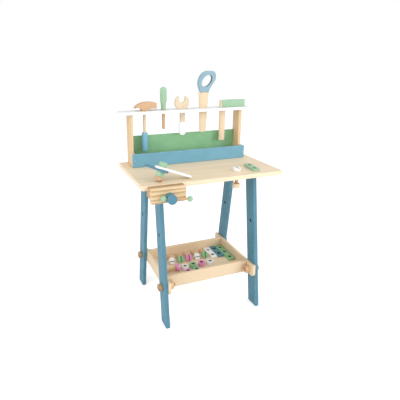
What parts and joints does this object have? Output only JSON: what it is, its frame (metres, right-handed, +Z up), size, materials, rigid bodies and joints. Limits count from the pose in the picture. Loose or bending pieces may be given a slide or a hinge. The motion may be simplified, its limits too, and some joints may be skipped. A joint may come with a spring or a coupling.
{
  "type": "toy workbench",
  "caption": "Wooden toy workbench: splayed-leg table with a bolted tray, a vise, a tool rack with hanging tools, and loose bolts, nuts and strips.",
  "frame": {"origin": "on the floor, under the centre of the bounding box at rest", "axes": "+Z up; the front, where the child stands and the vise is, faces -Y; +X to the right as the child sees it"},
  "size_m": [0.5032, 0.3712, 0.8194],
  "materials": {
    "worktop": "sanded, clear lacquer",
    "tray_floor": "sanded, clear lacquer",
    "leg_front_left": "satin paint over wood",
    "leg_rear_left": "satin paint over wood",
    "leg_front_right": "satin paint over wood",
    "leg_rear_right": "satin paint over wood",
    "cleat_left": "sanded, clear lacquer",
    "cleat_right": "sanded, clear lacquer",
    "tray_side_left": "sanded, clear lacquer",
    "tray_side_right": "sanded, clear lacquer",
    "tray_board_front": "sanded, clear lacquer",
    "tray_board_rear": "sanded, clear lacquer",
    "tray_bolt_front_left": "sanded, clear lacquer",
    "tray_bolt_rear_left": "sanded, clear lacquer",
    "tray_bolt_front_right": "sanded, clear lacquer",
    "tray_bolt_rear_right": "sanded, clear lacquer",
    "tray_nut_front_left": "sanded, clear lacquer",
    "tray_nut_rear_left": "sanded, clear lacquer",
    "tray_nut_front_right": "sanded, clear lacquer",
    "tray_nut_rear_right": "sanded, clear lacquer",
    "rack_side_left": "sanded, clear lacquer",
    "rack_side_right": "sanded, clear lacquer",
    "rack_shelf": "satin paint over wood",
    "rack_back_panel": "satin paint over wood",
    "trough_front_board": "satin paint over wood",
    "vise_fixed_jaw": "sanded, clear lacquer, strong grain",
    "vise_moving_jaw": "sanded, clear lacquer, strong grain",
    "vise_guide_rod_left": "sanded, clear lacquer",
    "vise_guide_rod_right": "sanded, clear lacquer",
    "vise_bar": "sanded, clear lacquer",
    "vise_screw": "satin paint over wood",
    "vise_ball_left": "satin paint over wood",
    "vise_ball_right": "satin paint over wood",
    "hammer_head": "sanded, clear lacquer",
    "hammer_handle": "sanded, clear lacquer",
    "hammer_grip": "satin paint over wood",
    "screwdriver_handle": "satin paint over wood",
    "screwdriver_shaft": "sanded, clear lacquer",
    "wrench": "sanded, clear lacquer",
    "saw_handle": "satin paint over wood",
    "saw_blade": "sanded, clear lacquer",
    "square_stock": "satin paint over wood",
    "square_blade": "sanded, clear lacquer",
    "table_bolt": "satin paint over wood",
    "table_nut": "sanded, clear lacquer",
    "table_strip": "satin paint over wood",
    "build_bolt": "sanded, clear lacquer",
    "build_nut_lower": "satin paint over wood",
    "build_nut_upper": "satin paint over wood",
    "build_strip_blue": "satin paint over wood",
    "build_strip_white": "satin paint over wood",
    "loose_bolt_white_1": "satin paint over wood",
    "loose_bolt_white_2": "satin paint over wood",
    "loose_bolt_green_1": "satin paint over wood",
    "loose_bolt_green_2": "satin paint over wood",
    "loose_bolt_pink_1": "satin paint over wood",
    "loose_bolt_pink_2": "satin paint over wood",
    "loose_strip_white": "satin paint over wood",
    "loose_strip_blue": "satin paint over wood",
    "loose_strip_green": "satin paint over wood"
  },
  "bodies": {
    "bench": {"worktop": "worktop", "tray_floor": "tray_floor", "leg_front_left": "leg_front_left", "leg_rear_left": "leg_rear_left", "leg_front_right": "leg_front_right", "leg_rear_right": "leg_rear_right", "cleat_left": "cleat_left", "cleat_right": "cleat_right", "tray_side_left": "tray_side_left", "tray_side_right": "tray_side_right", "tray_board_front": "tray_board_front", "tray_board_rear": "tray_board_rear", "tray_bolt_front_left": "tray_bolt_front_left", "tray_bolt_rear_left": "tray_bolt_rear_left", "tray_bolt_front_right": "tray_bolt_front_right", "tray_bolt_rear_right": "tray_bolt_rear_right", "tray_nut_front_left": "tray_nut_front_left", "tray_nut_rear_left": "tray_nut_rear_left", "tray_nut_front_right": "tray_nut_front_right", "tray_nut_rear_right": "tray_nut_rear_right", "rack_side_left": "rack_side_left", "rack_side_right": "rack_side_right", "rack_shelf": "rack_shelf", "rack_back_panel": "rack_back_panel", "trough_front_board": "trough_front_board", "vise_fixed_jaw": "vise_fixed_jaw"},
    "vise_jaw": {"vise_moving_jaw": "vise_moving_jaw", "vise_guide_rod_left": "vise_guide_rod_left", "vise_guide_rod_right": "vise_guide_rod_right"},
    "vise_screw": {"vise_screw": "vise_screw"},
    "vise_bar": {"vise_bar": "vise_bar", "vise_ball_left": "vise_ball_left", "vise_ball_right": "vise_ball_right"},
    "hammer": {"hammer_head": "hammer_head", "hammer_handle": "hammer_handle", "hammer_grip": "hammer_grip"},
    "screwdriver": {"screwdriver_handle": "screwdriver_handle", "screwdriver_shaft": "screwdriver_shaft"},
    "wrench": {"wrench": "wrench"},
    "saw": {"saw_handle": "saw_handle", "saw_blade": "saw_blade"},
    "square": {"square_stock": "square_stock", "square_blade": "square_blade"},
    "table_bolt": {"table_bolt": "table_bolt"},
    "table_nut": {"table_nut": "table_nut"},
    "table_strip": {"table_strip": "table_strip"},
    "build": {"build_bolt": "build_bolt", "build_nut_lower": "build_nut_lower"},
    "build_strip_blue": {"build_strip_blue": "build_strip_blue"},
    "build_strip_white": {"build_strip_white": "build_strip_white"},
    "build_nut_upper": {"build_nut_upper": "build_nut_upper"},
    "loose_bolt_white_1": {"loose_bolt_white_1": "loose_bolt_white_1"},
    "loose_bolt_green_1": {"loose_bolt_green_1": "loose_bolt_green_1"},
    "loose_bolt_pink_1": {"loose_bolt_pink_1": "loose_bolt_pink_1"},
    "loose_bolt_white_2": {"loose_bolt_white_2": "loose_bolt_white_2"},
    "loose_bolt_green_2": {"loose_bolt_green_2": "loose_bolt_green_2"},
    "loose_bolt_pink_2": {"loose_bolt_pink_2": "loose_bolt_pink_2"},
    "loose_strip_white": {"loose_strip_white": "loose_strip_white"},
    "loose_strip_blue": {"loose_strip_blue": "loose_strip_blue"},
    "loose_strip_green": {"loose_strip_green": "loose_strip_green"}
  },
  "joints": [
    {"name": "vise_jaw_slide", "type": "slide", "parent": "bench", "child": "vise_jaw", "axis": [0, -1, 0], "range_m": [0, 0.03]},
    {"name": "vise_screw_turn", "type": "hinge", "parent": "vise_jaw", "child": "vise_screw", "pos_m": [-0.172, -0.17175, 0.47], "axis": [0, -1, 0], "range_deg": [0, 1079]},
    {"name": "vise_bar_slide", "type": "slide", "parent": "vise_screw", "child": "vise_bar", "axis": [-0.9914, 0, 0.1305], "range_m": [0, 0.036]},
    {"name": "hammer_lift", "type": "slide", "parent": "bench", "child": "hammer", "axis": [0, 0, 1], "range_m": [0, 0.15]},
    {"name": "screwdriver_lift", "type": "slide", "parent": "bench", "child": "screwdriver", "axis": [0, 0, 1], "range_m": [0, 0.075]},
    {"name": "wrench_lift", "type": "slide", "parent": "bench", "child": "wrench", "axis": [0, 0, 1], "range_m": [0, 0.1]},
    {"name": "saw_lift", "type": "slide", "parent": "bench", "child": "saw", "axis": [0, 0, 1], "range_m": [0, 0.095]},
    {"name": "square_lift", "type": "slide", "parent": "bench", "child": "square", "axis": [0, 0, 1], "range_m": [0, 0.13]},
    {"name": "table_bolt_turn", "type": "hinge", "parent": "bench", "child": "table_bolt", "pos_m": [0.1, -0.0722, 0.5], "axis": [0, 0, 1], "range_deg": [-1760, 840]},
    {"name": "table_nut_slide", "type": "slide", "parent": "bench", "child": "table_nut", "axis": [0, 0, -1], "range_m": [-0.0295, 0.0141]},
    {"name": "table_strip_lift", "type": "slide", "parent": "bench", "child": "table_strip", "axis": [0, 0, 1], "range_m": [0, 0.05]},
    {"name": "build_lift", "type": "slide", "parent": "bench", "child": "build", "axis": [0, 0, 1], "range_m": [0, 0.06]},
    {"name": "build_strip_blue_turn", "type": "hinge", "parent": "build", "child": "build_strip_blue", "pos_m": [-0.185, -0.0942, 0.50493], "axis": [0.3579, 0.0959, 0.9288], "range_deg": [-180, 180]},
    {"name": "build_strip_white_turn", "type": "hinge", "parent": "build", "child": "build_strip_white", "pos_m": [-0.185, -0.0942, 0.50493], "axis": [0.3579, 0.0959, 0.9288], "range_deg": [-180, 180]},
    {"name": "build_nut_upper_slide", "type": "slide", "parent": "build", "child": "build_nut_upper", "axis": [0.3579, 0.0959, 0.9288], "range_m": [0, 0.014]},
    {"name": "loose_bolt_white_1_lift", "type": "slide", "parent": "bench", "child": "loose_bolt_white_1", "axis": [0, 0, 1], "range_m": [0, 0.06]},
    {"name": "loose_bolt_green_1_lift", "type": "slide", "parent": "bench", "child": "loose_bolt_green_1", "axis": [0, 0, 1], "range_m": [0, 0.06]},
    {"name": "loose_bolt_pink_1_lift", "type": "slide", "parent": "bench", "child": "loose_bolt_pink_1", "axis": [0, 0, 1], "range_m": [0, 0.06]},
    {"name": "loose_bolt_white_2_lift", "type": "slide", "parent": "bench", "child": "loose_bolt_white_2", "axis": [0, 0, 1], "range_m": [0, 0.06]},
    {"name": "loose_bolt_green_2_lift", "type": "slide", "parent": "bench", "child": "loose_bolt_green_2", "axis": [0, 0, 1], "range_m": [0, 0.06]},
    {"name": "loose_bolt_pink_2_lift", "type": "slide", "parent": "bench", "child": "loose_bolt_pink_2", "axis": [0, 0, 1], "range_m": [0, 0.06]},
    {"name": "loose_strip_white_lift", "type": "slide", "parent": "bench", "child": "loose_strip_white", "axis": [0, 0, 1], "range_m": [0, 0.06]},
    {"name": "loose_strip_blue_lift", "type": "slide", "parent": "bench", "child": "loose_strip_blue", "axis": [0, 0, 1], "range_m": [0, 0.06]},
    {"name": "loose_strip_green_lift", "type": "slide", "parent": "bench", "child": "loose_strip_green", "axis": [0, 0, 1], "range_m": [0, 0.06]}
  ],
  "couplings": [
    {"joint": "vise_jaw_slide", "follows": "vise_screw_turn", "m_per_rad": 0.0015915},
    {"joint": "table_nut_slide", "follows": "table_bolt_turn", "m_per_rad": 0.00095493}
  ]
}
